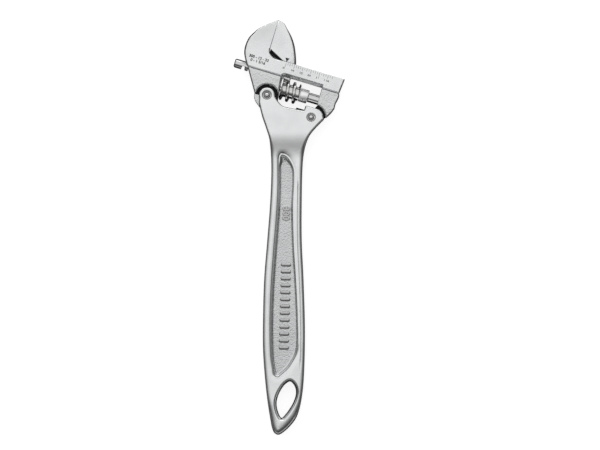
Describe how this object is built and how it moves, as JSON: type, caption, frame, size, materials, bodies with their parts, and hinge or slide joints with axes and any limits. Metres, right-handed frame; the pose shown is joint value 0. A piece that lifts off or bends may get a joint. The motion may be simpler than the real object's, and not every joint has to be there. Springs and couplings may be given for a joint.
{
  "type": "adjustable wrench",
  "caption": "Long adjustable wrench: forged recessed handle with a hang hole, pivoting head, sliding toothed jaw, thumb worm on a sprung carriage and a scale on the bar.",
  "frame": {"origin": "centre of the whole wrench's box in X and Y, on the surface it lies on (the back of the bar)", "axes": "+Y along the handle towards the jaws, +X to the right seen from the front, +Z out of the front face; the bar leans 16.7 degrees below +X"},
  "size_m": [0.0804, 0.2998, 0.0172],
  "materials": {
    "satin_chrome": "sandblasted and plated, with polished ribs",
    "polished_chrome": "polished plate",
    "worm_steel": "bright plated",
    "pin_steel": "turned",
    "spring_steel": "drawn wire"
  },
  "bodies": {
    "handle": {"handle": "satin_chrome", "pivot_pin": "pin_steel", "guide_pin": "pin_steel", "return_spring": "spring_steel"},
    "head": {"head": "polished_chrome", "worm_pin": "pin_steel", "worm_spring": "spring_steel"},
    "carriage": {"thrust_collar": "worm_steel"},
    "worm": {"worm": "worm_steel"},
    "jaw": {"movable_jaw": "polished_chrome"},
    "plunger": {"return_plunger": "pin_steel"}
  },
  "joints": [
    {"name": "head_pivot", "type": "hinge", "parent": "handle", "child": "head", "pos_m": [-0.01598, 0.09534, 0.0086], "axis": [0, 0, -1], "range_deg": [0, 1.9], "stiffness_Nm_per_rad": 2, "springref_deg": -1.72},
    {"name": "plunger_slide", "type": "slide", "parent": "handle", "child": "plunger", "axis": [-0.2874, -0.9578, 0], "range_m": [0, 0.0007], "deforming": ["return_spring"]},
    {"name": "ratchet_slide", "type": "slide", "parent": "head", "child": "carriage", "axis": [0.9578, -0.2874, 0], "range_m": [0, 0.0068], "stiffness_N_per_m": 600, "springref_m": -0.004, "deforming": ["worm_spring"]},
    {"name": "jaw_slide", "type": "slide", "parent": "carriage", "child": "jaw", "axis": [0.9578, -0.2874, 0], "range_m": [0, 0.033]},
    {"name": "worm_spin", "type": "hinge", "parent": "carriage", "child": "worm", "pos_m": [0.00068, 0.09817, 0.0086], "axis": [0.9578, -0.2874, 0], "range_deg": [-2425, 0]}
  ],
  "couplings": [
    {"joint": "worm_spin", "follows": "jaw_slide", "rad_per_m": -1282.3},
    {"joint": "plunger_slide", "follows": "head_pivot", "m_per_rad": 0.0194}
  ]
}
